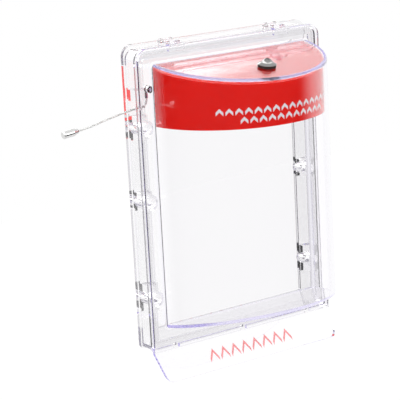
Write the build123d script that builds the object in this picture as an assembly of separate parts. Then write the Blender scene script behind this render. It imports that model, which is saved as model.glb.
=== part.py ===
from build123d import *
import os
from math import cos, pi, radians, sin, sqrt, tan

# A protective cover for a fire alarm call point. A clear frame is screwed to the wall round the
# call point. A clear shell with a bowed front hangs on two pins at the frame's top and is lifted
# by the lip along its bottom edge. A red warning sounder sits inside the top of the bow, held by
# one screw from above. A wire tether runs from the shell through the frame's left side, and the
# ferrule on its end meets the frame when the shell is fully open.
#
# Lengths are in millimetres. X runs to the right seen from the front and Z runs up. The wall is
# the plane Y = 0, the object is in front of it on the -Y side, and the origin is the middle of
# the frame on the wall. A depth is a distance forward of the wall: depth d lies at Y = -d.

# Frame
frame_width = 160.0
frame_height = 216.0
frame_depth = 15.0
top_corner = 8.0
bottom_corner = 3.0
inner_corner = 1.5
wall_flange_width = 12.5
wall_flange_thickness = 3.0
wall_flange_step = 1.0  # the wall flange stands out this far past the side walls
wall_flange_top_rise = 2.0  # and this much further up at its top
frame_wall = 2.5
return_width = 7.0  # front return, from the frame's outline inwards
return_thickness = 2.4
frame_edge_round = 0.7

# Blocks and screw posts in the frame's sides, in pairs with a post between them
post_inset = 7.3
post_radius = 5.8
post_head_bore = 4.0
post_screw_hole = 2.2
block_half_gap = 3.2
block_groups = ((52.5, 5.4), (0.0, 3.5), (-70.0, 7.0))  # middle height, height of each block
tether_block_bottom = 71.8
tether_block_height = 7.8
block_step_depth = 9.0  # behind this depth the blocks reach in to the wall flange's inner edge

# Pips low on the frame's front, which sit in notches in the shell's rim and centre it
pip_radius = 1.3
pip_spacing = 60.0
pip_inset = 2.3
pip_notch_gap = 1.2

# Shell
shell_gap = 0.3  # between the frame's front and the shell's rim
rim_depth = 2.2
shell_wall = 2.5
bow_side_inset = 11.5  # from the frame's side to the bow's side
bow_depth = 64.5  # from the front of the shell's flange
bow_top_inset = 10.5
bow_bottom_inset = 16.4
top_slope = 0.17
bottom_slope = 0.19
bow_edge_round = 2.4
bow_base_round = 1.8
flange_edge_round = 1.0

# Lift lip
lip_angle = 30.0  # outwards from straight down
lip_length = 22.4
lip_side_taper = 4.0
lip_corner = 7.0

# Hinge
hinge_spacing = 92.0
hinge_depth = 5.5
hinge_above_frame = 1.6
hinge_pin_radius = 1.0
hinge_running_gap = 0.05
hinge_press = 0.01
arm_width = 5.0
arm_thickness = 2.6
arm_eye_radius = 2.0
arm_root_width = 13.0
arm_root_rise = 0.8
arm_root_drop = 4.0
cheek_thickness = 2.0
cheek_radius = 2.2
cheek_gap = 0.4

# Red sounder housing
housing_gap = 0.5  # round its front and sides
housing_top_gap = 0.3
housing_wall = 2.0
housing_back_thickness = 2.0
housing_edge_round = 1.5
band_height = 43.9  # from the bow's top edge at the flange to the housing's bottom
pad_thickness = 0.3
pad_depth = 9.0
pads = ((2.5, 7.5), (12.0, 29.0))  # heights of each pad's bottom and top over the housing's bottom
boss_radius = 3.2
sounder_boss_gap = 1.2  # between the sounder and the bosses beside it
boss_length = 12.0
housing_screw_radius = 1.25
housing_screw_length = 10.0
screw_head_radius = 2.4
screw_head_height = 1.5
thread_gap = 0.05
screw_end_gap = 0.2

# Retaining screw and its washers
screw_setback = 24.5  # behind the bow's front
screw_radius = 2.0
screw_hole_gap = 0.3
screw_length = 12.5
retaining_head_radius = 3.9
retaining_head_height = 2.7
recess_width = 0.9
recess_length = 4.4
recess_depth = 1.1
dished_washer_radius = 6.65
dished_washer_top_radius = 4.5
dished_washer_thickness = 1.4
sealing_washer_radius = 6.4
sealing_washer_thickness = 1.8
insert_radius = 3.0
insert_length = 8.0
insert_boss_wall = 1.8
insert_boss_floor = 1.0

# Battery, a 9 V block lying on two ribs
battery_length = 48.5
battery_width = 26.5
battery_height = 17.5
battery_corner = 2.0
battery_back_gap = 0.5
battery_rib_height = 2.2
battery_rib_width = 2.0
battery_rib_spacing = 30.0
battery_seat_gap = 0.2
terminal_height = 2.8
terminal_spacing = 12.7
positive_terminal_radius = 2.85
negative_terminal_radius = 3.6
contact_thickness = 0.5
contact_width = 9.4
contact_height = 14.0
contact_gap = 0.2
contact_cup_wall = 0.5
contact_cup_length = 1.6
contact_rib_width = 2.0
contact_rib_height = 15.0

# Sounder board
board_thickness = 1.6
board_front_inset = 9.5  # behind the housing's inside front
board_gap = 1.0
board_post_height = 4.4
board_post_radius = 2.4
board_hole_inset = 3.4
board_screw_radius = 1.0
board_screw_length = 5.0
board_head_radius = 1.9
board_head_height = 1.2
chip_size = (9.6, 6.4, 3.4)
chip_leg = (0.5, 1.2, 2.0)
chip_leg_pitch = 2.54
chip_leg_pairs = 4
coil_radius = 4.2
coil_height = 6.0
coil_flange = 0.8
switch_radius = 2.6
switch_length = 11.0
switch_leg_radius = 0.3
switch_leg_inset = 2.0

# Sounder
capsule_radius = 11.0
capsule_height = 10.0
capsule_wall = 1.2
sounder_fit = 0.15
sounder_ring_height = 1.6
sounder_ring_width = 2.0
diaphragm_thickness = 0.4
slot_width = 1.6
slot_pitch = 3.4
slot_count = 5
slot_margin = 3.0
piece_gap = 0.3

# Tether. Its routes are lists of points chosen by hand: how far out from the frame's left side,
# or in from it where less than nought, then depth and Z.
cable_radius = 0.75
cable_route = (
    (45.0, 11.0, 58.8),
    (37.0, 11.1, 59.6),
    (23.0, 11.6, 63.0),
    (10.0, 11.3, 65.3),
    (-1.0, 11.0, 66.9),
)
lead_route = (
    (-1.0, 11.0, 66.9),
    (-5.4, 11.0, 67.5),
    (-10.4, 12.1, 69.0),
    (-10.4, 12.1, 73.7),
)
run_share = 0.45  # share of the shorter run that each bend takes up
cable_hole_radius = 1.3
ferrule_radius = 2.75
ferrule_length = 8.0
ferrule_edge = 0.5
neck_tip_radius = 1.5
neck_length = 4.0
eyelet_radius = 2.4
eyelet_thickness = 0.8
barrel_radius = 1.2
barrel_length = 4.4
tether_boss_radius = 2.5
tether_boss_length = 4.1
tether_screw_radius = 1.0
tether_screw_length = 5.0
tether_head_radius = 1.9
tether_head_height = 1.2

weld = 0.5  # how far the bodies that make up one moulding run into each other
overcut = 1.0  # how far a cutting body runs past what it cuts
reach = 300.0  # longer than anything that is cut
same_plane = 0.001  # two things nearer than this lie in one plane

# Places worked out from the sizes above
half_width = frame_width / 2
half_height = frame_height / 2
rim_back = frame_depth + shell_gap
flange_back = rim_back + rim_depth
flange_front = flange_back + shell_wall
bow_half_width = half_width - bow_side_inset
bow_front = flange_front + bow_depth
bow_top = half_height - bow_top_inset
bow_bottom = -half_height + bow_bottom_inset
slant = sqrt(1 + top_slope**2)
hinge_height = half_height + hinge_above_frame
hinge_places = (-hinge_spacing / 2, hinge_spacing / 2)
pip_places = (-pip_spacing, 0, pip_spacing)
housing_back_front = flange_back + housing_back_thickness
housing_inset = shell_wall + housing_top_gap
housing_bottom = bow_top - band_height
housing_floor = housing_bottom + housing_wall
cavity_side = shell_wall + housing_gap + housing_wall
cavity_half_width = bow_half_width - cavity_side
cavity_bow_depth = bow_depth - cavity_side
cavity_front = flange_front + cavity_bow_depth
battery_back = housing_back_front + battery_back_gap
battery_front = battery_back + battery_width
battery_bottom = housing_floor + battery_rib_height + battery_seat_gap
board_back = battery_front + board_gap
board_front = cavity_front - board_front_inset
board_bottom = housing_floor + board_post_height
board_top = board_bottom + board_thickness


def top_height(depth, inset=0.0):
    """Height of the bow's sloping top at a depth, or of a plane set in below it by a distance."""
    return bow_top - top_slope * (depth - flange_front) - inset * slant


def bottom_height(depth, inset=0.0):
    """Height of the bow's sloping bottom at a depth, or of a plane set in above it."""
    return bow_bottom + bottom_slope * (depth - flange_front) + inset * sqrt(1 + bottom_slope**2)


def cavity_reach(depth):
    """Half width of the housing's inside at a depth, on its half ellipse."""
    return cavity_half_width * sqrt(1 - ((depth - flange_front) / cavity_bow_depth) ** 2)


board_half_width = cavity_reach(board_front) - board_gap
sounder_x = -(cavity_half_width + weld - 2 * boss_radius - sounder_boss_gap - capsule_radius)
sounder_depth = housing_back_front + piece_gap + capsule_radius


def block(x0, x1, depth0, depth1, z0, z1):
    """Box between two values of X, two depths and two heights."""
    centre = Pos((x0 + x1) / 2, -(depth0 + depth1) / 2, (z0 + z1) / 2)
    return centre * Box(abs(x1 - x0), abs(depth1 - depth0), abs(z1 - z0))


def rod_out(x, z, depth0, depth1, radius):
    """Cylinder square to the wall, between two depths."""
    return Pos(x, -(depth0 + depth1) / 2, z) * Rot(90, 0, 0) * Cylinder(radius, abs(depth1 - depth0))


def rod_across(x0, x1, depth, z, radius):
    """Cylinder along X."""
    return Pos((x0 + x1) / 2, -depth, z) * Rot(0, 90, 0) * Cylinder(radius, abs(x1 - x0))


def rod_up(x, depth, z0, z1, radius):
    """Upright cylinder."""
    return Pos(x, -depth, (z0 + z1) / 2) * Cylinder(radius, abs(z1 - z0))


def outline(inset=0.0, bottom=bottom_corner):
    """The frame's outline seen from the front, set in all round."""
    sheet = Rectangle(frame_width - 2 * inset, frame_height - 2 * inset)
    top = sheet.vertices().group_by(Axis.Y)[-1]
    sheet = fillet(top, max(top_corner - inset, inner_corner))
    if bottom > 0:
        low = sheet.vertices().group_by(Axis.Y)[0]
        sheet = fillet(low, max(bottom - inset, inner_corner))
    return sheet


def slab(sheet, depth0, depth1):
    """A front view carried from one depth to another."""
    return extrude(Plane.XZ.offset(depth0) * sheet, amount=depth1 - depth0)


def ring(outer_inset, inner_inset, depth0, depth1):
    """A frame-shaped ring between two insets from the outline."""
    return slab(outline(outer_inset) - outline(inner_inset), depth0, depth1)


def side_slice(points):
    """An outline of depth and height points, carried right across the object."""
    sheet = make_face(Polyline(*[(-depth, z) for depth, z in points], close=True))
    return extrude(Plane.YZ * sheet, amount=reach, both=True)


def bow(inset, back, lower, upper):
    """Half an elliptical cylinder set in from the bow's outside, with straight sides at its back.

    lower and upper give its bottom and top height at a depth.
    """
    across = bow_half_width - inset
    front = flange_front + bow_depth - inset
    arc = EllipticalCenterArc((0, -flange_front), across, bow_depth - inset, 180, arc_size=180)
    sides = Polyline((across, -flange_front), (across, -back), (-across, -back), (-across, -flange_front))
    column = extrude(Pos(0, 0, -reach) * make_face([arc, sides]), amount=2 * reach)
    beyond = front + overcut
    side_view = [(back, lower(back)), (beyond, lower(beyond)), (beyond, upper(beyond)), (back, upper(back))]
    return column & side_slice(side_view)


def curved_edges(face):
    """The edges of a face that aren't straight."""
    return face.edges().filter_by(GeomType.LINE, reverse=True)


# The frame


def make_wall_frame():
    """One clear moulding: wall flange, side walls and front return, with blocks, posts and cheeks."""
    walls = ring(wall_flange_step, wall_flange_step + frame_wall, wall_flange_thickness - weld, frame_depth)
    front = walls.faces().sort_by(Axis.Y)[0]
    walls = fillet(front.outer_wire().edges(), frame_edge_round)
    flange = ring(0, wall_flange_width, 0, wall_flange_thickness)
    upper_half = block(-half_width, half_width, 0, wall_flange_thickness, 0, reach)
    part = flange + (Pos(0, 0, wall_flange_top_rise) * flange & upper_half) + walls
    part += ring(
        wall_flange_step + frame_wall - weld, return_width, frame_depth - return_thickness, frame_depth
    )
    for side in (-1, 1):
        for middle, height in block_groups:
            for up in (-1, 1):
                near = middle + up * block_half_gap
                part += make_side_block(side, near, near + up * height)
            part += rod_out(side * (half_width - post_inset), middle, 0, frame_depth, post_radius)
        part += make_side_block(side, tether_block_bottom, tether_block_bottom + tether_block_height)
        for middle, _ in block_groups:
            x = side * (half_width - post_inset)
            part -= rod_out(x, middle, wall_flange_thickness, frame_depth + overcut, post_head_bore)
            part -= rod_out(x, middle, -overcut, frame_depth, post_screw_hole)
    for x in pip_places:
        part += Pos(x, -frame_depth, -half_height + pip_inset) * Sphere(pip_radius)
    for middle in hinge_places:
        for side in (-1, 1):
            part += make_cheek(middle, side)
    for middle in hinge_places:
        half_pin = arm_width / 2 + cheek_gap + cheek_thickness + overcut
        bore = hinge_pin_radius - hinge_press
        part -= rod_across(middle - half_pin, middle + half_pin, hinge_depth, hinge_height, bore)
    hole_height = cable_route[-1][2]
    hole_end = -half_width + return_width
    part -= rod_across(-half_width - overcut, hole_end, cable_route[-1][1], hole_height, cable_hole_radius)
    return part


def make_side_block(side, low, high):
    """A solid block in a side wall, with a step in its inner end."""
    inside_wall = half_width - wall_flange_step - weld
    step_end = half_width - wall_flange_width
    front_end = half_width - return_width
    back = wall_flange_thickness - weld
    front = frame_depth - return_thickness + weld
    step = block(side * step_end, side * inside_wall, back, block_step_depth, low, high)
    return step + block(side * front_end, side * inside_wall, back, front, low, high)


def make_cheek(middle, side):
    """One of the two ears that hold a hinge pin, on the frame's top."""
    near = middle + side * (arm_width / 2 + cheek_gap)
    far = near + side * cheek_thickness
    root = half_height - wall_flange_step - weld
    stem = block(near, far, hinge_depth - cheek_radius, hinge_depth + cheek_radius, root, hinge_height)
    return stem + rod_across(near, far, hinge_depth, hinge_height, cheek_radius)


def make_hinge_pin(middle):
    """A plain steel pin, pressed into both cheeks and free in the shell's arm."""
    half_length = arm_width / 2 + cheek_gap + cheek_thickness
    return rod_across(middle - half_length, middle + half_length, hinge_depth, hinge_height, hinge_pin_radius)


# The shell


def make_bow_outside():
    """The bow's solid outer form with its top and bottom edges rounded."""
    form = bow(0, flange_back, bottom_height, top_height)
    top = form.faces().sort_by(Axis.Z)[-1]
    bottom = form.faces().sort_by(Axis.Z)[0]
    return fillet(curved_edges(top) + curved_edges(bottom), bow_edge_round)


def make_lip():
    """The lift lip: the flange's plate carried on below a kink, with rounded lower corners."""
    out = sin(radians(lip_angle))
    down = cos(radians(lip_angle))
    kink = shell_wall * tan(radians(lip_angle / 2))
    front_low = (flange_front + lip_length * out, -half_height - lip_length * down)
    back_low = (front_low[0] - shell_wall * down, front_low[1] - shell_wall * out)
    section = side_slice(
        [
            (flange_front, -half_height + weld),
            (flange_front, -half_height),
            front_low,
            back_low,
            (flange_back, -half_height - kink),
            (flange_back, -half_height + weld),
        ]
    )
    low = back_low[1] - same_plane
    low_half_width = half_width - lip_side_taper
    corners = Polyline(
        (-half_width, -half_height + weld),
        (half_width, -half_height + weld),
        (half_width, -half_height),
        (low_half_width, low),
        (-low_half_width, low),
        (-half_width, -half_height),
        close=True,
    )
    sheet = make_face(corners)
    sheet = fillet(sheet.vertices().group_by(Axis.Y)[0], lip_corner)
    return section & slab(sheet, flange_back - overcut, reach)


def make_arm(middle):
    """A hinge arm: from the flange up over the frame's top to an eye on the pin."""
    half = arm_width / 2
    root_half = arm_root_width / 2
    root_low = half_height - arm_root_drop
    bar_low = hinge_height - arm_thickness / 2
    bar_high = hinge_height + arm_thickness / 2
    arm = block(middle - half, middle + half, hinge_depth, flange_front, bar_low, bar_high)
    arm += block(middle - half, middle + half, rim_back, flange_front, root_low, bar_high)
    arm += rod_across(middle - half, middle + half, hinge_depth, hinge_height, arm_eye_radius)
    arm += block(
        middle - root_half, middle + root_half, rim_back, flange_front, root_low, half_height + arm_root_rise
    )
    bore = hinge_pin_radius + hinge_running_gap
    return arm - rod_across(middle - half - overcut, middle + half + overcut, hinge_depth, hinge_height, bore)


def make_cover_shell():
    """One clear moulding: rim, flange, hollow bow, lip, hinge arms and the tether's boss."""
    plate = slab(outline(bottom=0), flange_back, flange_front)
    front = plate.faces().sort_by(Axis.Y)[0]
    above = front.edges().filter_by(lambda edge: edge.center().Z > -half_height + weld)
    plate = fillet(above, flange_edge_round)
    part = plate + make_bow_outside()
    base = [
        edge
        for edge in part.edges()
        if abs(edge.center().Y + flange_front) < same_plane
        and abs(edge.bounding_box().size.Y) < same_plane
        and abs(edge.center().X) < bow_half_width + weld
        and bow_bottom - weld < edge.center().Z < bow_top + weld
    ]
    part = fillet(base, bow_base_round)
    rim = ring(0, shell_wall, rim_back, flange_back + weld)
    notch = pip_radius + pip_notch_gap
    for x in pip_places:
        low = -half_height - overcut
        rim -= block(x - notch, x + notch, 0, flange_back, low, -half_height + shell_wall + overcut)
    part += rim + make_lip()
    for middle in hinge_places:
        part += make_arm(middle)
    eyelet_x, eyelet_z = eyelet_place()
    part += rod_out(
        eyelet_x, eyelet_z, flange_back - tether_boss_length, flange_back + weld, tether_boss_radius
    )
    part -= bow(
        shell_wall,
        flange_back - overcut,
        lambda depth: bottom_height(depth, shell_wall),
        lambda depth: top_height(depth, shell_wall),
    )
    part -= tether_screw_bore(eyelet_x, eyelet_z)
    return part - on_top(-shell_wall - overcut, sealing_washer_thickness, screw_radius + screw_hole_gap)


# What is seated on the bow's sloping top


def top_plane():
    """Plane on the bow's top, square to it, at the retaining screw."""
    depth = bow_front - screw_setback
    return Plane(origin=(0, -depth, top_height(depth)), x_dir=(1, 0, 0), z_dir=(0, -top_slope, 1))


def on_top(z0, z1, radius):
    """Cylinder square to the bow's top, between two heights over it."""
    return top_plane() * Pos(0, 0, (z0 + z1) / 2) * Cylinder(radius, z1 - z0)


def make_sealing_washer():
    """Rubber washer between the shell and the dished washer."""
    thickness = sealing_washer_thickness
    hole = on_top(-overcut, thickness + overcut, screw_radius + screw_hole_gap)
    return on_top(0, thickness, sealing_washer_radius) - hole


def make_screw_washer():
    """Steel washer with a sloping edge."""
    low = sealing_washer_thickness
    high = low + dished_washer_thickness
    cone = Cone(dished_washer_radius, dished_washer_top_radius, dished_washer_thickness)
    washer = top_plane() * Pos(0, 0, (low + high) / 2) * cone
    return washer - on_top(low - overcut, high + overcut, screw_radius + screw_hole_gap)


def make_retaining_screw():
    """Steel screw with a domed head and a cross recess."""
    seat = sealing_washer_thickness + dished_washer_thickness
    crown = retaining_head_height
    ball = (retaining_head_radius**2 + crown**2) / (2 * crown)
    head = Pos(0, 0, crown - ball) * Sphere(ball)
    head &= Pos(0, 0, crown / 2) * Cylinder(retaining_head_radius, crown)
    for turn in (0, 90):
        slot = Box(recess_length, recess_width, 2 * recess_depth)
        head -= Pos(0, 0, crown) * Rot(0, 0, turn) * slot
    head = top_plane() * Pos(0, 0, seat) * head
    return head + on_top(seat - screw_length, seat + weld, screw_radius)


def make_threaded_insert():
    """Brass insert in the housing's boss."""
    top = -housing_inset
    blank = on_top(top - insert_length, top, insert_radius)
    return blank - on_top(top - insert_length - overcut, top + overcut, screw_radius + thread_gap)


# The red housing


def housing_form():
    """The housing's solid outer form, from the shell's flange forward."""
    return bow(
        shell_wall + housing_gap,
        flange_back,
        lambda depth: housing_bottom,
        lambda depth: top_height(depth, housing_inset),
    )


def boss_places():
    """X and Z of the four bosses for the back plate's screws, run into the sides, floor and top."""
    x = cavity_half_width - boss_radius + weld
    low = housing_floor + boss_radius - weld
    deepest = housing_back_front + boss_length
    high = top_height(deepest, housing_inset + housing_wall) - boss_radius + weld
    return [(side * x, z) for side in (-1, 1) for z in (low, high)]


def board_hole_places():
    """X and depth of the board's four screws."""
    x = board_half_width - board_hole_inset
    depths = (board_back + board_hole_inset, board_front - board_hole_inset)
    return [(side * x, depth) for side in (-1, 1) for depth in depths]


def slot_half_length(shift):
    """Half the length of a sound slot, which fits inside the sounder's ring."""
    inner = capsule_radius - capsule_wall - slot_margin
    return sqrt(inner**2 - shift**2)


def make_sounder_housing():
    """Red moulding that follows the inside of the bow, open at its back."""
    form = housing_form()
    top = form.faces().sort_by(Axis.Z)[-1]
    form = fillet(curved_edges(top), housing_edge_round)
    for low, high in pads:
        pad = bow(
            shell_wall + housing_gap - pad_thickness,
            flange_back,
            lambda depth: housing_bottom + low,
            lambda depth: housing_bottom + high,
        )
        form += pad - block(-reach, reach, flange_front + pad_depth, reach, -reach, reach)
    form -= block(-reach, reach, 0, housing_back_front, -reach, reach)
    part = form - bow(
        cavity_side,
        flange_back - overcut,
        lambda depth: housing_floor,
        lambda depth: top_height(depth, housing_inset + housing_wall),
    )
    top_inside = -housing_inset - housing_wall
    boss = on_top(
        -housing_inset - insert_length - insert_boss_floor, top_inside + weld, insert_radius + insert_boss_wall
    )
    part += boss
    part -= on_top(-housing_inset - insert_length, 0, insert_radius + thread_gap)
    for x, z in boss_places():
        post = rod_out(x, z, housing_back_front, housing_back_front + boss_length, boss_radius)
        bore = rod_out(
            x, z, 0, housing_back_front + housing_screw_length, housing_screw_radius + thread_gap
        )
        part += post
        part -= bore
    for x, depth in board_hole_places():
        part += rod_up(x, depth, housing_floor - weld, board_bottom, board_post_radius)
        low = board_top - board_screw_length - screw_end_gap
        part -= rod_up(x, depth, low, board_bottom + overcut, board_screw_radius + thread_gap)
    rib_top = housing_floor + battery_rib_height
    for side in (-1, 1):
        near = side * (battery_rib_spacing - battery_rib_width) / 2
        far = side * (battery_rib_spacing + battery_rib_width) / 2
        part += block(near, far, battery_back, battery_front, housing_floor - weld, rib_top)
    rib_x = battery_length / 2 + terminal_height + 2 * contact_gap + contact_thickness
    part += block(
        rib_x,
        rib_x + contact_rib_width,
        battery_back,
        battery_front,
        housing_floor - weld,
        housing_floor + contact_rib_height,
    )
    for number in range(slot_count):
        shift = (number - (slot_count - 1) / 2) * slot_pitch
        half = slot_half_length(shift)
        x = sounder_x + shift
        part -= block(
            x - slot_width / 2,
            x + slot_width / 2,
            sounder_depth - half,
            sounder_depth + half,
            housing_bottom - overcut,
            housing_floor + weld,
        )
    return part


def make_housing_back():
    """Flat red plate that closes the housing's back."""
    plate = housing_form() & block(-reach, reach, 0, housing_back_front, -reach, reach)
    for x, z in boss_places():
        plate -= rod_out(x, z, 0, reach, housing_screw_radius + thread_gap)
    return plate


def make_housing_screws():
    """Four screws driven from behind, heads on the back plate."""
    screws = []
    for x, z in boss_places():
        head = rod_out(x, z, flange_back - screw_head_height, flange_back, screw_head_radius)
        tip = housing_back_front + housing_screw_length - piece_gap
        shank = rod_out(x, z, flange_back - weld, tip, housing_screw_radius)
        slot_floor = flange_back - screw_head_height / 2
        slot = block(
            x - screw_head_radius,
            x + screw_head_radius,
            0,
            slot_floor,
            z - recess_width / 2,
            z + recess_width / 2,
        )
        screws.append(head + shank - slot)
    return Compound(screws)


# What the housing holds


def make_battery():
    """9 V block battery with its two snap terminals on one end."""
    half = battery_length / 2
    body = block(-half, half, battery_back, battery_front, battery_bottom, battery_bottom + battery_height)
    body = fillet(body.edges().filter_by(Axis.X), battery_corner)
    for side, radius in ((-1, positive_terminal_radius), (1, negative_terminal_radius)):
        depth, z = terminal_place(side)
        body += rod_across(half - weld, half + terminal_height, depth, z, radius)
    return body


def terminal_place(side):
    """Depth and height of a battery terminal."""
    depth = (battery_back + battery_front) / 2 + side * terminal_spacing / 2
    return depth, battery_bottom + battery_height / 2


def make_battery_contact(side, terminal_radius):
    """Steel contact plate with a cup round the terminal, backed by the housing's rib."""
    depth, z = terminal_place(side)
    face = battery_length / 2 + terminal_height + contact_gap
    back = face + contact_thickness
    low = housing_floor + contact_gap
    half = contact_width / 2
    plate = block(face, back, depth - half, depth + half, low, low + contact_height)
    inner = terminal_radius + contact_gap
    start = face - contact_cup_length
    cup = rod_across(start, face + contact_gap, depth, z, inner + contact_cup_wall)
    return plate + (cup - rod_across(start - overcut, face, depth, z, inner))


def make_circuit_board():
    """The sounder's board on four posts."""
    board = block(-board_half_width, board_half_width, board_back, board_front, board_bottom, board_top)
    for x, depth in board_hole_places():
        board -= rod_up(x, depth, board_bottom - overcut, board_top + overcut, board_screw_radius + thread_gap)
    return board


def make_board_screws():
    """Four small screws through the board into its posts."""
    screws = []
    for x, depth in board_hole_places():
        head = rod_up(x, depth, board_top, board_top + board_head_height, board_head_radius)
        shank = rod_up(x, depth, board_top - board_screw_length, board_top + weld, board_screw_radius)
        slot = block(
            x - board_head_radius,
            x + board_head_radius,
            depth - recess_width / 2,
            depth + recess_width / 2,
            board_top + board_head_height / 2,
            board_top + board_head_height + overcut,
        )
        screws.append(head + shank - slot)
    return Compound(screws)


def board_middle():
    """Depth of the board's middle line."""
    return (board_back + board_front) / 2


def make_driver_chip():
    """Chip in an eight-leg package, at the board's middle."""
    length, width, height = chip_size
    leg_thick, leg_out, leg_high = chip_leg
    depth = board_middle()
    lift = leg_high / 2
    base = board_top + lift
    chip = block(-length / 2, length / 2, depth - width / 2, depth + width / 2, base, base + height)
    for number in range(chip_leg_pairs):
        x = (number - (chip_leg_pairs - 1) / 2) * chip_leg_pitch
        for side in (-1, 1):
            edge = depth + side * (width / 2 - weld)
            end = depth + side * (width / 2 + leg_out)
            chip += block(x - leg_thick, x + leg_thick, edge, end, base, base + leg_high / 2)
            inner = depth + side * (width / 2 + leg_out / 2)
            chip += block(x - leg_thick, x + leg_thick, inner, end, board_top, base + leg_high / 2)
    return chip


def make_step_up_coil():
    """Bobbin coil to the right of the chip."""
    x = board_half_width / 2
    depth = board_middle()
    top = board_top + coil_height
    coil = rod_up(x, depth, board_top, top, coil_radius - coil_flange)
    coil += rod_up(x, depth, board_top, board_top + coil_flange, coil_radius)
    return coil + rod_up(x, depth, top - coil_flange, top, coil_radius)


def make_tilt_switch():
    """Switch that lies on the board to the left of the chip, on two legs."""
    x = -board_half_width / 2
    depth = board_middle()
    z = board_top + switch_radius + piece_gap
    half = switch_length / 2
    body = rod_across(x - half, x + half, depth, z, switch_radius)
    for side in (-1, 1):
        leg_x = x + side * (half - switch_leg_inset)
        body += rod_up(leg_x, depth, board_top, z, switch_leg_radius)
    return body


def make_sounder_capsule():
    """Cup of the sounder, mouth down on the housing's floor over the slots."""
    top = housing_floor + capsule_height
    cup = rod_up(sounder_x, sounder_depth, housing_floor, top, capsule_radius)
    hollow = rod_up(
        sounder_x, sounder_depth, housing_floor - overcut, top - capsule_wall, capsule_radius - capsule_wall
    )
    return cup - hollow


def make_sounder_ring():
    """Ring inside the cup that the disc rests on."""
    outer = capsule_radius - capsule_wall - sounder_fit
    top = housing_floor + sounder_ring_height
    ring_solid = rod_up(sounder_x, sounder_depth, housing_floor, top, outer)
    inner = outer - sounder_ring_width
    return ring_solid - rod_up(sounder_x, sounder_depth, housing_floor - overcut, top + overcut, inner)


def make_sounder_diaphragm():
    """Thin disc that makes the sound."""
    low = housing_floor + sounder_ring_height
    radius = capsule_radius - capsule_wall - sounder_fit
    return rod_up(sounder_x, sounder_depth, low, low + diaphragm_thickness, radius)


# The tether


def route_points(route):
    """Points of a route in X, Y and Z."""
    return [Vector(-half_width - out, -depth, z) for out, depth, z in route]


def bend_radii(points):
    """Radius at each inner point: a share of the shorter run over the tangent of half the turn."""
    radii = []
    for before, here, after in zip(points, points[1:], points[2:]):
        arriving = here - before
        leaving = after - here
        shorter = min(arriving.length, leaving.length)
        radii.append(run_share * shorter / tan(radians(arriving.get_angle(leaving) / 2)))
    return radii


def make_cable(name, route):
    """Round wire rope along a route of straight runs joined by tangent arcs."""
    points = route_points(route)
    radii = bend_radii(points)
    path = FilletPolyline(*points, radius=radii)
    start = Plane(origin=points[0], z_dir=points[1] - points[0])
    tube = sweep(start * Circle(cable_radius), path=path)
    expected = pi * cable_radius**2 * path.length
    print(name, "bend radii", [round(radius, 1) for radius in radii], "length", round(path.length, 2))
    print(name, "volume", round(tube.volume, 3), "section times length", round(expected, 3))
    return tube


def eyelet_place():
    """X and Z of the eyelet's screw, straight above the lead's end."""
    end = route_points(lead_route)[-1]
    return end.X, end.Z + barrel_length + eyelet_radius - weld


def tether_screw_bore(x, z):
    """Pilot hole for the eyelet's screw in the shell's boss."""
    start = flange_back - tether_boss_length
    depth = tether_screw_length - eyelet_thickness + piece_gap
    return rod_out(x, z, start - overcut, start + depth, tether_screw_radius + thread_gap)


def make_tether_eyelet():
    """Crimped eyelet: a flat ring on the boss with a barrel that grips the lead."""
    x, z = eyelet_place()
    end = route_points(lead_route)[-1]
    front = flange_back - tether_boss_length
    ring_solid = rod_out(x, z, front - eyelet_thickness, front, eyelet_radius)
    barrel = rod_up(end.X, -end.Y, end.Z, end.Z + barrel_length, barrel_radius)
    hole = rod_out(x, z, 0, reach, tether_screw_radius + thread_gap)
    return ring_solid + barrel - hole


def make_tether_screw():
    """Screw that holds the eyelet to the shell."""
    x, z = eyelet_place()
    seat = flange_back - tether_boss_length - eyelet_thickness
    head = rod_out(x, z, seat - tether_head_height, seat, tether_head_radius)
    shank = rod_out(x, z, seat - weld, seat + tether_screw_length, tether_screw_radius)
    slot = block(
        x - tether_head_radius,
        x + tether_head_radius,
        0,
        seat - tether_head_height / 2,
        z - recess_width / 2,
        z + recess_width / 2,
    )
    return head + shank - slot


def make_tether_ferrule():
    """Crimped ferrule in line with the cable's first run, narrowing to it."""
    points = route_points(cable_route)
    ferrule_plane = Plane(origin=points[0], z_dir=points[0] - points[1])
    neck = Pos(0, 0, neck_length / 2) * Cone(neck_tip_radius, ferrule_radius, neck_length)
    body = Pos(0, 0, neck_length + ferrule_length / 2) * Cylinder(ferrule_radius, ferrule_length)
    body = chamfer(body.edges().group_by(Axis.Z)[-1], ferrule_edge)
    return ferrule_plane * (neck + body)


pieces = {
    "wall_frame": make_wall_frame(),
    "hinge_pin_left": make_hinge_pin(hinge_places[0]),
    "hinge_pin_right": make_hinge_pin(hinge_places[1]),
    "cover_shell": make_cover_shell(),
    "sealing_washer": make_sealing_washer(),
    "screw_washer": make_screw_washer(),
    "retaining_screw": make_retaining_screw(),
    "threaded_insert": make_threaded_insert(),
    "sounder_housing": make_sounder_housing(),
    "housing_back": make_housing_back(),
    "housing_screws": make_housing_screws(),
    "battery": make_battery(),
    "battery_contact_positive": make_battery_contact(-1, positive_terminal_radius),
    "battery_contact_negative": make_battery_contact(1, negative_terminal_radius),
    "circuit_board": make_circuit_board(),
    "board_screws": make_board_screws(),
    "driver_chip": make_driver_chip(),
    "step_up_coil": make_step_up_coil(),
    "tilt_switch": make_tilt_switch(),
    "sounder_capsule": make_sounder_capsule(),
    "sounder_ring": make_sounder_ring(),
    "sounder_diaphragm": make_sounder_diaphragm(),
    "tether_cable": make_cable("tether_cable", cable_route),
    "tether_lead": make_cable("tether_lead", lead_route),
    "tether_eyelet": make_tether_eyelet(),
    "tether_screw": make_tether_screw(),
    "tether_ferrule": make_tether_ferrule(),
}

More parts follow.
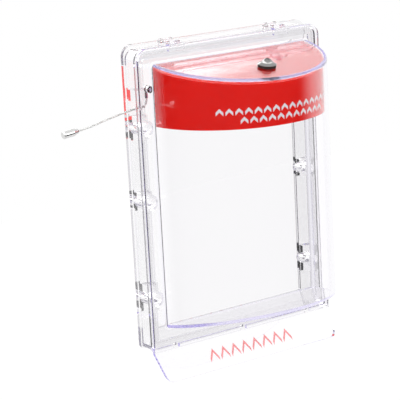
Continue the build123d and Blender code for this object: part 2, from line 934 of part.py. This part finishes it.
os.makedirs("parts", exist_ok=True)
for name, piece in pieces.items():
    export_step(piece, f"parts/{name}.step")
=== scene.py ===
import bpy
import numpy as np
from mathutils import Matrix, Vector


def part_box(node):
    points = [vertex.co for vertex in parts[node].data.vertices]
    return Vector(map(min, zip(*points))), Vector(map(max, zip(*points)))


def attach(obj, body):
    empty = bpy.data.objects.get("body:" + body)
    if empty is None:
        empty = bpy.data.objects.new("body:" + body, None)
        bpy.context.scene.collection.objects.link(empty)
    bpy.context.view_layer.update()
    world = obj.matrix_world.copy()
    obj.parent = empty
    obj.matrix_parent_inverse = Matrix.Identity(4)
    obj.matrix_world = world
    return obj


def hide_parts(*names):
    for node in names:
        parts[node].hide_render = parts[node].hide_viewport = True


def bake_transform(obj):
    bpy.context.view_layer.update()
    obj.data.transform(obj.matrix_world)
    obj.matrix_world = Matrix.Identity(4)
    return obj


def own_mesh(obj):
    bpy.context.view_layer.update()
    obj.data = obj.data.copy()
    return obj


# A protective cover for a fire alarm call point: a clear wall frame, a clear shell with a bowed
# front that lifts on two pins, a red sounder housing in the top of the bow, and a wire tether.
# Lengths are in metres unless a name ends in _mm. X runs right seen from the front, Z up, and the
# front faces -Y. The wall is the plane Y = 0.
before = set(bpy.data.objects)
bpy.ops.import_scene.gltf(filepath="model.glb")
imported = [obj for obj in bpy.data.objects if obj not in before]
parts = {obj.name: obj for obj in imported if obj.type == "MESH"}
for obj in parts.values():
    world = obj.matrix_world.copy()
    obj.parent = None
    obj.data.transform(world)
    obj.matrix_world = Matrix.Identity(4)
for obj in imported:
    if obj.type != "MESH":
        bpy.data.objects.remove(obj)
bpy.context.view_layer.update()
scene = bpy.context.scene

# The camera stands before the cover, well to its left and a little above it, as a product
# photographer stands to show the front, the left side and the top at once. It leans a little.
camera_azimuth, camera_elevation, camera_roll = np.radians((-35.022, 13.298, -3.115))
camera_distance = 1.27189
camera_slide_right = -0.01572
camera_slide_up = -0.01312
camera_sensor_mm = 36.0
camera_lens_mm = 157.51
camera_farthest = 20.0


def camera_matrix():
    """Axes of a camera that looks down its own -Z, rolled about its line of sight."""
    ahead = -np.array((
        np.sin(camera_azimuth) * np.cos(camera_elevation),
        -np.cos(camera_azimuth) * np.cos(camera_elevation),
        np.sin(camera_elevation),
    ))
    level = np.cross(ahead, (0.0, 0.0, 1.0))
    level /= np.linalg.norm(level)
    upright = np.cross(level, ahead)
    right = np.cos(camera_roll) * level + np.sin(camera_roll) * upright
    up = np.cos(camera_roll) * upright - np.sin(camera_roll) * level
    place = camera_slide_right * right + camera_slide_up * up - camera_distance * ahead
    matrix = np.eye(4)
    matrix[:3] = np.column_stack((right, up, -ahead, place))
    return Matrix(matrix.tolist())


camera_data = bpy.data.cameras.new("photo_camera")
camera_data.sensor_width = camera_sensor_mm
camera_data.lens = camera_lens_mm
camera_data.clip_end = camera_farthest
camera = bpy.data.objects.new("photo_camera", camera_data)
camera.matrix_world = camera_matrix()
scene.collection.objects.link(camera)
scene.camera = camera


# Tether, outer stretch. Stainless wire rope of 1.5 mm, six strands laid round a straight one. It
# leaves the frame through a hole in its left side and carries a crimped ferrule. When the shell is
# lifted the rope is drawn in through the hole until the ferrule meets the frame.
cable_points = (
    (-0.079, -0.011, 0.0669),
    (-0.090, -0.0113, 0.0653),
    (-0.103, -0.0116, 0.0630),
    (-0.117, -0.0111, 0.0596),
    (-0.125, -0.011, 0.0588),
)
cable_diameter = 0.0015
rope_strands = 6
rope_lay = 0.0085
rope_sides = 8
rope_step = 0.0005


def new_material(name):
    """A material with a Principled shader, and the node tree that it sits in."""
    material = bpy.data.materials.new(name)
    material.use_nodes = True
    tree = material.node_tree
    return material, tree, tree.nodes["Principled BSDF"]


def add_node(tree, kind, **settings):
    """A node of a kind with some of its settings and input values given by name."""
    node = tree.nodes.new(kind)
    for name, value in settings.items():
        if name in node.inputs:
            node.inputs[name].default_value = value
        else:
            setattr(node, name, value)
    return node


def feed(tree, sockets, terms):
    """Gives each input its term: a number, or a link from another node's output."""
    for socket, term in zip(sockets, terms):
        if isinstance(term, (int, float)):
            socket.default_value = term
        else:
            tree.links.new(term, socket)


def add_maths(tree, operation, first, second, clamp=False):
    """One sum of two terms."""
    node = add_node(tree, "ShaderNodeMath", operation=operation, use_clamp=clamp)
    feed(tree, node.inputs, (first, second))
    return node.outputs[0]


def finish_nodes(names, material):
    """Gives a material to the CAD pieces of these names."""
    for name in names:
        for slot in parts[name].material_slots:
            slot.material = material


def moulded_group():
    """Node group for any worked surface: blotches in the colour, uneven gloss and a fine bump.

    A slow noise mixes the two colours. A fine one, less its mean, is added to the roughness, and
    lifts the surface by up to the bump height in millimetres.
    """
    group = bpy.data.node_groups.new("moulded_finish", "ShaderNodeTree")
    sockets = (
        ("Vector", "INPUT", "NodeSocketVector"),
        ("Colour", "INPUT", "NodeSocketColor"),
        ("Second Colour", "INPUT", "NodeSocketColor"),
        ("Blotch Scale", "INPUT", "NodeSocketFloat"),
        ("Grain Scale", "INPUT", "NodeSocketFloat"),
        ("Roughness", "INPUT", "NodeSocketFloat"),
        ("Roughness Spread", "INPUT", "NodeSocketFloat"),
        ("Bump Height", "INPUT", "NodeSocketFloat"),
        ("Colour", "OUTPUT", "NodeSocketColor"),
        ("Roughness", "OUTPUT", "NodeSocketFloat"),
        ("Normal", "OUTPUT", "NodeSocketVector"),
    )
    for name, way, kind in sockets:
        group.interface.new_socket(name, in_out=way, socket_type=kind)
    inlet = group.nodes.new("NodeGroupInput")
    outlet = group.nodes.new("NodeGroupOutput")
    blotch = add_node(group, "ShaderNodeTexNoise", Detail=3.0)
    grain = add_node(group, "ShaderNodeTexNoise", Detail=4.0)
    link = group.links.new
    link(inlet.outputs["Vector"], blotch.inputs["Vector"])
    link(inlet.outputs["Vector"], grain.inputs["Vector"])
    link(inlet.outputs["Blotch Scale"], blotch.inputs["Scale"])
    link(inlet.outputs["Grain Scale"], grain.inputs["Scale"])
    mix = add_node(group, "ShaderNodeMix", data_type="RGBA")
    link(blotch.outputs["Fac"], mix.inputs["Factor"])
    link(inlet.outputs["Colour"], mix.inputs[6])
    link(inlet.outputs["Second Colour"], mix.inputs[7])
    link(mix.outputs[2], outlet.inputs["Colour"])
    uneven = add_maths(group, "SUBTRACT", grain.outputs["Fac"], 0.5)
    uneven = add_maths(group, "MULTIPLY", uneven, inlet.outputs["Roughness Spread"])
    rough = add_maths(group, "ADD", uneven, inlet.outputs["Roughness"], clamp=True)
    link(rough, outlet.inputs["Roughness"])
    bump = add_node(group, "ShaderNodeBump", Distance=0.001)
    height = add_maths(group, "MULTIPLY", grain.outputs["Fac"], inlet.outputs["Bump Height"])
    link(height, bump.inputs["Height"])
    link(bump.outputs["Normal"], outlet.inputs["Normal"])
    return group


moulded = moulded_group()


def surface_finish(tree, shader, colours, blotch, grain, gloss, bump):
    """Joins a material's shader to the moulded_finish group, placed by Object coordinates.

    colours are the two that the blotches mix. blotch and grain count the noises' features in a
    metre. gloss is the roughness and its spread, and bump is a height in millimetres.
    """
    place = tree.nodes.new("ShaderNodeTexCoord")
    group = add_node(tree, "ShaderNodeGroup", node_tree=moulded)
    first, second = ((*colour, 1.0) for colour in colours)
    values = (first, second, blotch, grain, *gloss, bump)
    names = (
        "Colour", "Second Colour", "Blotch Scale", "Grain Scale",
        "Roughness", "Roughness Spread", "Bump Height",
    )
    for name, value in zip(names, values):
        group.inputs[name].default_value = value
    tree.links.new(place.outputs["Object"], group.inputs["Vector"])
    tree.links.new(group.outputs["Colour"], shader.inputs["Base Color"])
    tree.links.new(group.outputs["Roughness"], shader.inputs["Roughness"])
    tree.links.new(group.outputs["Normal"], shader.inputs["Normal"])


def worked_material(name, colours, gloss, grain, bump, blotch=40.0, metallic=0.0, coat=0.0):
    """A solid material with the moulded_finish group's colour, gloss and bump."""
    material, tree, shader = new_material(name)
    surface_finish(tree, shader, colours, blotch, grain, gloss, bump)
    shader.inputs["Metallic"].default_value = metallic
    shader.inputs["Coat Weight"].default_value = coat
    return material


def smooth_route(points, step):
    """Even places along a NURBS line of order 3 with these control points, and its headings.

    Blender draws the line finely, its length is summed, and places one step apart are read from
    it. The last value gives each place's length along the line.
    """
    curve = bpy.data.curves.new("route", "CURVE")
    curve.dimensions = "3D"
    curve.resolution_u = 32
    spline = curve.splines.new("NURBS")
    spline.points.add(len(points) - 1)
    for point, place in zip(spline.points, points):
        point.co = (*place, 1.0)
    spline.order_u = 3
    spline.use_endpoint_u = True
    carrier = bpy.data.objects.new("route", curve)
    mesh = bpy.data.meshes.new_from_object(carrier)
    fine = np.empty(len(mesh.vertices) * 3)
    mesh.vertices.foreach_get("co", fine)
    fine = fine.reshape(-1, 3)
    bpy.data.objects.remove(carrier)
    bpy.data.curves.remove(curve)
    bpy.data.meshes.remove(mesh)
    runs = np.linalg.norm(np.diff(fine, axis=0), axis=1)
    along = np.concatenate(((0.0,), np.cumsum(runs)))
    even = np.linspace(0.0, along[-1], max(2, round(along[-1] / step)) + 1)
    line = np.column_stack([np.interp(even, along, fine[:, axis]) for axis in range(3)])
    heading = np.gradient(line, axis=0)
    return line, heading / np.linalg.norm(heading, axis=1, keepdims=True), even


def tube_faces(first, rings, sides):
    """Quads between neighbouring rings of a tube, and its two caps. first is its first vertex."""
    ring = first + np.arange(rings - 1)[:, None] * sides
    following = ring + sides
    side = np.arange(sides)
    after = (side + 1) % sides
    corners = (ring + side, ring + after, following + after, following + side)
    last_ring = first + (rings - 1) * sides
    caps = [(first + side[::-1]).tolist(), (last_ring + side).tolist()]
    return np.stack(corners, axis=-1).reshape(-1, 4).tolist() + caps


def strand_surface(line, heading, along, offset, turn, radius):
    """One strand: a tube round a helix about the route.

    The helix has a radius of offset and starts at the angle turn. Its centre at a length s along
    the route is the route's place plus offset in the direction turn + 2 pi s / lay.
    """
    across = np.cross(heading, (0.0, 1.0, 0.0))
    across /= np.linalg.norm(across, axis=1, keepdims=True)
    other = np.cross(heading, across)
    angle = turn + 2 * np.pi * along / rope_lay
    centre = line + offset * (np.cos(angle)[:, None] * across + np.sin(angle)[:, None] * other)
    around = np.linspace(0.0, 2 * np.pi, rope_sides, endpoint=False)
    ring = np.cos(around)[:, None] * across[:, None] + np.sin(around)[:, None] * other[:, None]
    return (centre[:, None] + radius * ring).reshape(-1, 3)


def make_mesh(name, vertices, faces, smooth=True):
    """An object at the origin with this mesh, shaded smooth or flat."""
    mesh = bpy.data.meshes.new(name)
    mesh.from_pydata(np.asarray(vertices).tolist(), [], faces)
    mesh.polygons.foreach_set("use_smooth", np.full(len(mesh.polygons), smooth))
    mesh.update()
    piece = bpy.data.objects.new(name, mesh)
    scene.collection.objects.link(piece)
    return piece


def make_rope(name, points, diameter):
    """Seven strands of a third of the rope's diameter: one straight, six wound round it."""
    line, heading, along = smooth_route(points, rope_step)
    radius = diameter / 6
    vertices = [strand_surface(line, heading, along, 0.0, 0.0, radius)]
    for number in range(rope_strands):
        turn = 2 * np.pi * number / rope_strands
        vertices.append(strand_surface(line, heading, along, 2 * radius, turn, radius))
    faces = []
    for number, strand in enumerate(vertices):
        faces += tube_faces(number * len(strand), len(line), rope_sides)
    return make_mesh(name, np.concatenate(vertices), faces), line


steel_rope = worked_material(
    "rope_steel",
    ((0.80, 0.80, 0.79), (0.55, 0.55, 0.54)),
    gloss=(0.4, 0.2),
    grain=900.0,
    bump=0.05,
    blotch=700.0,
    metallic=0.6,
)
tether_rope, cable_line = make_rope("tether_rope", cable_points, cable_diameter)
tether_rope.data.materials.append(steel_rope)
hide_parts("tether_cable")
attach(tether_rope, "frame")
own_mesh(tether_rope)

# Tether, inner stretch. The same rope, from the hole in the frame's side to the eyelet on the
# shell. It is drawn out in an arc as the shell is lifted.
lead_points = (
    (-0.079, -0.011, 0.0669),
    (-0.0746, -0.011, 0.0675),
    (-0.0696, -0.0121, 0.0690),
    (-0.0696, -0.0121, 0.0737),
)
tether_inner_rope, _ = make_rope("tether_inner_rope", lead_points, cable_diameter)
tether_inner_rope.data.materials.append(steel_rope)
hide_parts("tether_lead")
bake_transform(tether_inner_rope)

# Steel fittings. The ferrule and the eyelet are crimped on the rope, plated and bright, as the
# inner screws and the pins are. The domed screw on top and its dished washer are darker steel.
bright_steel = worked_material(
    "bright_steel",
    ((0.78, 0.78, 0.77), (0.66, 0.66, 0.65)),
    gloss=(0.16, 0.12),
    grain=500.0,
    bump=0.02,
    blotch=150.0,
    metallic=1.0,
)
finish_nodes(
    (
        "tether_ferrule",
        "tether_eyelet",
        "tether_screw",
        "hinge_pin_left",
        "hinge_pin_right",
        "housing_screws",
        "board_screws",
        "battery_contact_positive",
        "battery_contact_negative",
    ),
    bright_steel,
)
washer_steel = worked_material(
    "washer_steel",
    ((0.36, 0.36, 0.35), (0.24, 0.24, 0.24)),
    gloss=(0.2, 0.15),
    grain=400.0,
    bump=0.03,
    blotch=120.0,
    metallic=1.0,
)
finish_nodes(("retaining_screw", "screw_washer"), washer_steel)

# Sealing washer. Dark matt rubber, cut from sheet. The domed screw presses it between the dished
# washer and the top of the shell.
rubber_shine = 0.15
dark_rubber = worked_material(
    "dark_rubber",
    ((0.022, 0.012, 0.012), (0.035, 0.02, 0.018)),
    gloss=(0.55, 0.15),
    grain=600.0,
    bump=0.15,
)
rubber_shader = dark_rubber.node_tree.nodes["Principled BSDF"]
rubber_shader.inputs["Specular IOR Level"].default_value = rubber_shine
finish_nodes(("sealing_washer",), dark_rubber)

# Wall frame and shell. Both are injection moulded in clear plastic, polished, and tinted a faint
# lavender that gathers where the sheet is seen edge on. Pins at the frame's top carry the shell.
clear_plastic_ior = 1.5
white = (1.0, 1.0, 1.0)


def clear_material(name, tint, depth_colour, density):
    """Clear plastic with a faint tint, a polished skin and the slow ripple of a moulded sheet.

    What passes through a depth d of it keeps exp(-density (1 - depth_colour) d) of its light.
    """
    material, tree, shader = new_material(name)
    surface_finish(
        tree, shader, (tint, white), blotch=14.0, grain=55.0, gloss=(0.012, 0.02), bump=0.015
    )
    shader.inputs["Transmission Weight"].default_value = 1.0
    shader.inputs["IOR"].default_value = clear_plastic_ior
    absorption = (*depth_colour, 1.0)
    depth_tint = add_node(tree, "ShaderNodeVolumeAbsorption", Color=absorption, Density=density)
    tree.links.new(depth_tint.outputs["Volume"], tree.nodes["Material Output"].inputs["Volume"])
    return material


# The frame's tint is greyer than the shell's, and its depth colour greyer and denser. Beyond its
# own faint tint this is painted shade: it darkens the frame's sheets where they are seen edge on,
# into dark lines.
clear_frame = clear_material("clear_frame", (0.975, 0.97, 0.98), (0.70, 0.69, 0.74), 14.0)
finish_nodes(("wall_frame",), clear_frame)
clear_shell = clear_material("clear_shell", (0.99, 0.98, 0.995), (0.72, 0.66, 0.98), 9.0)
finish_nodes(("cover_shell",), clear_shell)

# Sounder housing and its back plate. Moulded in glossy red plastic, translucent but too deeply
# coloured to see into. Four screws hold the plate, and one from above holds the housing.
red_plastic = worked_material(
    "red_plastic",
    ((0.92, 0.006, 0.001), (0.86, 0.005, 0.001)),
    gloss=(0.2, 0.08),
    grain=300.0,
    bump=0.03,
    blotch=30.0,
    coat=0.2,
)
finish_nodes(("sounder_housing", "housing_back"), red_plastic)

# Marks on the band. White ink printed on the housing's front in two rows of plain chevrons that
# point the way the shell is lifted. The ink lies on the curve of the housing.
flange_front = 0.020
housing_low, housing_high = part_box("sounder_housing")
pad_rise = 0.0003
band_half_width = housing_high[0] - pad_rise
band_depth = -housing_low[1] - flange_front
ink_rise = 0.00005
chevron_columns = 24
band_chevron = {"pitch": 0.0066, "width": 0.0052, "rise": 0.0026, "stroke": 0.0025}
band_rows = (  # name, how many chevrons, height of their feet
    ("band_marks_upper", 16, 0.0633),
    ("band_marks_lower", 11, 0.0572),
)
ellipse_steps = 2001


def chevron_row(count, pitch, width, rise, stroke):
    """Flat places of a row of chevrons, as (chevron, column, edge) grids of across and up.

    Across a chevron u runs from 0 to 1, its lower edge stands at rise x (1 - |2u - 1|), and its
    upper edge one stroke higher.
    """
    number = np.arange(count)[:, None, None] - (count - 1) / 2
    u = np.linspace(0.0, 1.0, chevron_columns + 1)[None, :, None]
    edge = np.array((0.0, 1.0))[None, None, :]
    across = number * pitch + (u - 0.5) * width + 0 * edge
    up = rise * (1 - np.abs(2 * u - 1)) + stroke * edge + 0 * number
    return across, up


def chevron_faces(count):
    """Quads of the chevrons' grids, facing the viewer."""
    chevron = np.arange(count)[:, None] * 2 * (chevron_columns + 1)
    corner = chevron + 2 * np.arange(chevron_columns)[None, :]
    return np.stack((corner, corner + 2, corner + 3, corner + 1), axis=-1).reshape(-1, 4).tolist()


def on_the_band(across, height):
    """Places on the housing's half ellipse at a distance along it from the middle.

    The ellipse is x = a sin t, y = -(flange + b cos t). The distance along it for each t is summed
    on a fine grid and read backwards.
    """
    a = band_half_width + ink_rise
    b = band_depth + ink_rise
    t = np.linspace(-np.pi / 2, np.pi / 2, ellipse_steps)
    speed = np.sqrt((a * np.cos(t)) ** 2 + (b * np.sin(t)) ** 2)
    along = np.concatenate(((0.0,), np.cumsum((speed[1:] + speed[:-1]) / 2 * np.diff(t))))
    angle = np.interp(across + along[-1] / 2, along, t)
    return np.stack((a * np.sin(angle), -(flange_front + b * np.cos(angle)), height), axis=-1)


def printed_row(name, places, count, ink, thickness):
    """A row of marks as one thin closed piece that moves with the shell."""
    marks = make_mesh(name, places.reshape(-1, 3), chevron_faces(count), smooth=False)
    marks.data.materials.append(ink)
    skin = marks.modifiers.new("ink", "SOLIDIFY")
    skin.thickness = thickness
    skin.offset = 0.0
    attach(marks, "cover")


white_ink = worked_material(
    "white_ink",
    ((0.92, 0.88, 0.89), (0.86, 0.80, 0.82)),
    gloss=(0.45, 0.1),
    grain=900.0,
    bump=0.03,
    blotch=500.0,
)
for row_name, row_count, row_height in band_rows:
    row_across, row_up = chevron_row(row_count, **band_chevron)
    row_places = on_the_band(row_across, row_up + row_height)
    printed_row(row_name, row_places, row_count, white_ink, ink_rise)

# Marks on the lip. Pale red ink printed on the front of the lift lip, below its kink: one row of
# chevrons that point up, the way the lip is lifted.
lip_angle = np.radians(30.0)
lip_kink_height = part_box("wall_frame")[0][2]
lip_count = 8
lip_chevron = {"pitch": 0.0095, "width": 0.0078, "rise": 0.0070, "stroke": 0.0030}
lip_marks_foot = 0.0166  # how far below the kink the chevrons' feet are


def on_the_lip(across, down):
    """Places on the lip's front at a distance down from its kink."""
    y = -flange_front - down * np.sin(lip_angle) - ink_rise * np.cos(lip_angle)
    z = lip_kink_height - down * np.cos(lip_angle) + ink_rise * np.sin(lip_angle)
    return np.stack((across, y, z), axis=-1)


red_ink = worked_material(
    "red_ink",
    ((0.78, 0.20, 0.20), (0.80, 0.34, 0.36)),
    gloss=(0.4, 0.1),
    grain=900.0,
    bump=0.03,
    blotch=90.0,
)
lip_across, lip_up = chevron_row(lip_count, **lip_chevron)
lip_places = on_the_lip(lip_across, lip_marks_foot - lip_up)
printed_row("lip_marks", lip_places, lip_count, red_ink, ink_rise)

# Threaded insert. Turned brass, pressed into the housing's boss. The domed screw on top of the
# shell turns into it, and so holds the housing.
brass = worked_material(
    "brass",
    ((0.72, 0.47, 0.16), (0.60, 0.38, 0.12)),
    gloss=(0.28, 0.15),
    grain=600.0,
    bump=0.04,
    metallic=1.0,
)
finish_nodes(("threaded_insert",), brass)

# Battery. A 9 V block in a dark jacket. It lies on two ribs inside the housing, between the steel
# contact plates.
battery_jacket = worked_material(
    "battery_jacket",
    ((0.03, 0.03, 0.035), (0.05, 0.05, 0.055)),
    gloss=(0.35, 0.15),
    grain=300.0,
    bump=0.05,
)
finish_nodes(("battery",), battery_jacket)

# Circuit board with its chip, coil and tilt switch. The board is glass fibre under green lacquer,
# screwed to four posts. The chip is black plastic, the coil copper wire, the switch a metal can.
board_green = worked_material(
    "board_green",
    ((0.02, 0.13, 0.05), (0.03, 0.18, 0.07)),
    gloss=(0.35, 0.15),
    grain=700.0,
    bump=0.1,
)
finish_nodes(("circuit_board",), board_green)
black_plastic = worked_material(
    "black_plastic",
    ((0.015, 0.015, 0.017), (0.03, 0.03, 0.032)),
    gloss=(0.45, 0.2),
    grain=700.0,
    bump=0.1,
)
finish_nodes(("driver_chip",), black_plastic)
copper_winding = worked_material(
    "copper_winding",
    ((0.55, 0.23, 0.09), (0.42, 0.17, 0.07)),
    gloss=(0.35, 0.2),
    grain=900.0,
    bump=0.2,
    metallic=0.8,
)
finish_nodes(("step_up_coil",), copper_winding)
switch_can = worked_material(
    "switch_can",
    ((0.60, 0.60, 0.58), (0.50, 0.50, 0.48)),
    gloss=(0.3, 0.2),
    grain=500.0,
    bump=0.05,
    metallic=1.0,
)
finish_nodes(("tilt_switch",), switch_can)

# Sounder. A black plastic cup, and a ring of the same plastic that holds its thin brass disc.
# Both are moulded, and the disc is stamped.
finish_nodes(("sounder_capsule", "sounder_ring"), black_plastic)
sounder_disc = worked_material(
    "sounder_disc",
    ((0.72, 0.55, 0.25), (0.62, 0.46, 0.20)),
    gloss=(0.3, 0.2),
    grain=500.0,
    bump=0.05,
    metallic=1.0,
)
finish_nodes(("sounder_diaphragm",), sounder_disc)

# Floor. A pale studio floor at the foot of the wall, a metre below the cover. Seen straight it
# glows a little, so that it is nearly white, and mirrored rays pass it by.
floor_height = -1.1
floor_reach = 4.0
floor_grey = (0.85, 0.85, 0.85, 1.0)
floor_roughness = 0.8
floor_glow_share = 0.9
floor = make_mesh(
    "floor",
    (
        (-floor_reach, -floor_reach, floor_height),
        (floor_reach, -floor_reach, floor_height),
        (floor_reach, floor_reach, floor_height),
        (-floor_reach, floor_reach, floor_height),
    ),
    [(0, 1, 2, 3)],
    smooth=False,
)
floor_paint, floor_tree, floor_shader = new_material("floor_paint")
floor_shader.inputs["Base Color"].default_value = floor_grey
floor_shader.inputs["Roughness"].default_value = floor_roughness


def mix_shaders(tree, factor, first, second):
    """The first shader where the factor is nought, the second where it is one."""
    node = tree.nodes.new("ShaderNodeMixShader")
    feed(tree, node.inputs, (factor, first, second))
    return node.outputs[0]


floor_path = floor_tree.nodes.new("ShaderNodeLightPath")
floor_straight = add_maths(
    floor_tree,
    "MAXIMUM",
    floor_path.outputs["Is Camera Ray"],
    floor_path.outputs["Is Transmission Ray"],
)
floor_bounced = add_maths(
    floor_tree,
    "ADD",
    floor_path.outputs["Glossy Depth"],
    floor_path.outputs["Diffuse Depth"],
    clamp=True,
)
floor_seen = add_maths(floor_tree, "SUBTRACT", floor_straight, floor_bounced, clamp=True)
floor_share = add_maths(floor_tree, "MULTIPLY", floor_seen, floor_glow_share)
floor_glow = add_node(floor_tree, "ShaderNodeEmission", Strength=1.0)
floor_lit = mix_shaders(floor_tree, floor_share, floor_shader.outputs[0], floor_glow.outputs[0])
floor_mirrored = add_maths(floor_tree, "MINIMUM", floor_path.outputs["Glossy Depth"], 1.0)
floor_clear = floor_tree.nodes.new("ShaderNodeBsdfTransparent")
floor_surface = mix_shaders(floor_tree, floor_mirrored, floor_lit, floor_clear.outputs[0])
floor_tree.links.new(floor_surface, floor_tree.nodes["Material Output"].inputs["Surface"])
floor.data.materials.append(floor_paint)

# Studio light. The cover hangs before a white sweep in a bright room that is dark only in front, at
# the height that upright surfaces mirror. Seen straight, or straight through clear plastic, all is
# white, and matt surfaces are lit evenly from all round, a little more from above.
away_heading = (0.558, 0.797, 0.0)  # the level part of the camera's line of sight
right_heading = (0.797, -0.558, 0.0)  # the same, turned a quarter to the right
straight_level = 1.0
through_plastic_level = 1.03
room_level = 1.0
world = bpy.data.worlds.new("studio")
scene.world = world
world.use_nodes = True
sky = world.node_tree
background = sky.nodes["Background"]
light_path = sky.nodes.new("ShaderNodeLightPath")
direction = sky.nodes.new("ShaderNodeTexCoord")
split = sky.nodes.new("ShaderNodeSeparateXYZ")
sky.links.new(direction.outputs["Generated"], split.inputs["Vector"])


def ramp(value, span, at_low, at_high):
    """A smooth step, 3t^2 - 2t^3, from one level to another as a value crosses a span."""
    node = add_node(sky, "ShaderNodeMapRange", interpolation_type="SMOOTHSTEP")
    feed(sky, node.inputs, (value, *span, at_low, at_high))
    return node.outputs["Result"]


def choose(factor, first, second):
    """The first level where the factor is nought, the second where it is one."""
    node = add_node(sky, "ShaderNodeMix", data_type="FLOAT")
    feed(sky, (node.inputs["Factor"], *node.inputs[2:4]), (factor, first, second))
    return node.outputs[0]


def along(heading):
    """How far a ray points along a level heading: the dot product of the two."""
    node = add_node(sky, "ShaderNodeVectorMath", operation="DOT_PRODUCT")
    node.inputs[1].default_value = heading
    sky.links.new(direction.outputs["Generated"], node.inputs[0])
    return node.outputs["Value"]


def product(first, second):
    """One level times another."""
    return add_maths(sky, "MULTIPLY", first, second)


# A ray is placed by its height, from -1 straight down to 1 straight up, and by how far it points
# away from the camera and to the camera's right. Each pair is the span over which a light fades.
height = split.outputs["Z"]
behind = along(away_heading)
aside = along(right_heading)

# Overhead panel, seen in the sloping top. Its edge leans, so it follows the height of a ray and a
# share of its reach to the right.
panel_level = 3.0
panel_lean = 0.5
panel_edge = (0.436, 0.456)
panel_foot = (0.36, 0.39)
lean = add_maths(sky, "ADD", height, product(aside, panel_lean))
overhead = product(ramp(lean, panel_edge, 1.0, 0.0), ramp(height, panel_foot, 0.0, panel_level))

# Strip light, in front and above the dark, seen as a thin line in rounded upper edges.
strip_level = 3.0
strip_foot = (0.0, 0.06)
strip_top = (0.36, 0.42)
strip_rear = (0.2, 0.5)
strip_rise = ramp(height, strip_foot, 0.0, strip_level)
strip_height = product(strip_rise, ramp(height, strip_top, 1.0, 0.0))
strip_light = product(strip_height, ramp(behind, strip_rear, 1.0, 0.0))
open_room = add_maths(sky, "ADD", overhead, room_level)
lit_room = add_maths(sky, "ADD", open_room, strip_light)

# Dark front, which gives upright clear plastic and steel their dark lines.
dark_level = 0.006
dark_foot = (-0.55, -0.4)
dark_top = (-0.05, 0.08)
dark_rear = (-0.05, 0.4)
upright = product(ramp(height, dark_foot, 0.0, 1.0), ramp(height, dark_top, 1.0, 0.0))
mirrored = choose(upright, lit_room, ramp(behind, dark_rear, dark_level, room_level))

# Rays mirrored twice or more that leave through the plastic see a paler front, darker on the left.
trapped_left_level, trapped_right_level = 0.15, 0.75
trapped_side = (-0.3, 0.5)
trapped_rear = (-0.2, 0.6)
trapped_front = ramp(aside, trapped_side, trapped_left_level, trapped_right_level)
trapped = choose(upright, room_level, ramp(behind, trapped_rear, trapped_front, room_level))

# Even light for matt surfaces, and the choice between them all by the way a ray has come.
even_level_below, even_level_above = 1.25, 1.75
even_light = ramp(height, (-1.0, 1.0), even_level_below, even_level_above)
is_through = light_path.outputs["Is Transmission Ray"]
reflected = add_maths(sky, "MINIMUM", light_path.outputs["Glossy Depth"], 1.0)
scattered = add_maths(sky, "MINIMUM", light_path.outputs["Diffuse Depth"], 1.0)
twice = add_maths(sky, "SUBTRACT", light_path.outputs["Glossy Depth"], 1.0, clamp=True)
straight = choose(is_through, straight_level, through_plastic_level)
level = choose(reflected, straight, choose(product(twice, is_through), mirrored, trapped))
level = choose(scattered, level, even_light)
sky.links.new(level, background.inputs["Strength"])
background.inputs["Color"].default_value = (1.0, 1.0, 1.0, 1.0)

# Clear plastic carries light along its sheets for many turns. Its edges go black where a path ends
# too early.
light_turns = 96
scene.view_settings.view_transform = "Standard"
scene.cycles.max_bounces = light_turns
scene.cycles.transmission_bounces = light_turns
scene.cycles.glossy_bounces = light_turns
